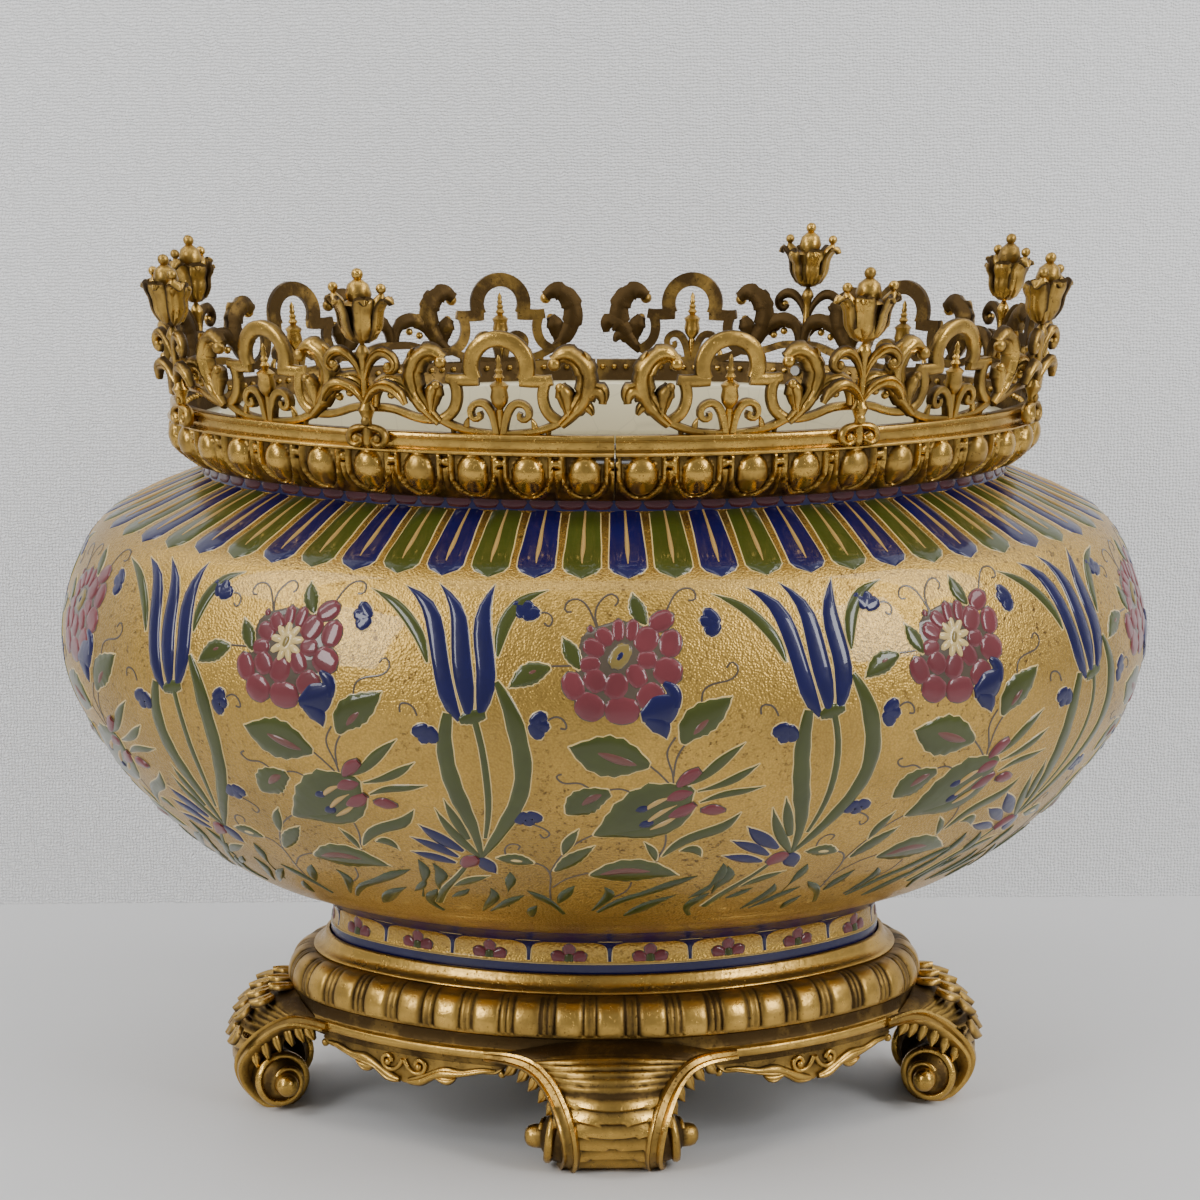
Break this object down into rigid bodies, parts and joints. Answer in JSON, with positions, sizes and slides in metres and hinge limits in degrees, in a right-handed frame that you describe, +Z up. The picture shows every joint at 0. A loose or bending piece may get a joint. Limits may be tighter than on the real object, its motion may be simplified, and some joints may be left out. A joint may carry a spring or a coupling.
{
  "type": "jardiniere",
  "caption": "Oval bulbous glazed jardiniere in gilt bronze mounts, with a pierced gallery and flower finials at the rim and a gadrooned base on scroll feet.",
  "frame": {"origin": "centre of the oval, on the floor that the feet stand on", "axes": "+X along the oval's long side, to the right when the front seam of the rim is faced; +Y to the back; +Z up"},
  "size_m": [0.4396, 0.36, 0.3531],
  "materials": {
    "porcelain": "gold ground with coloured enamels under a clear glaze, cream inside",
    "gilt_bronze": "gilt, burnished on high parts, brown in the hollows",
    "steel": "dull",
    "leather": "matte"
  },
  "bodies": {
    "root": {"apron_back_left": "gilt_bronze", "apron_back_right": "gilt_bronze", "apron_front_left": "gilt_bronze", "apron_front_right": "gilt_bronze", "bridge_washer": "steel", "clamp_bolt": "steel", "clamp_bridge": "steel", "clamp_nut": "steel", "finial_left_1": "gilt_bronze", "finial_left_2": "gilt_bronze", "finial_left_3": "gilt_bronze", "finial_right_1": "gilt_bronze", "finial_right_2": "gilt_bronze", "finial_right_3": "gilt_bronze", "finial_right_4": "gilt_bronze", "finial_screws": "steel", "floor_washer": "leather", "foot_back": "gilt_bronze", "foot_front": "gilt_bronze", "foot_left": "gilt_bronze", "foot_right": "gilt_bronze", "foot_screws": "steel", "gadroon_ring": "gilt_bronze", "gallery_left": "gilt_bronze", "gallery_right": "gilt_bronze", "plinth": "gilt_bronze", "porcelain_bowl": "porcelain", "porcelain_foot": "porcelain", "porcelain_shoulder": "porcelain", "rim_mount_left": "gilt_bronze", "rim_mount_right": "gilt_bronze", "seam_pins": "steel", "seat_pad": "leather", "socle_collar": "gilt_bronze"}
  },
  "joints": []
}
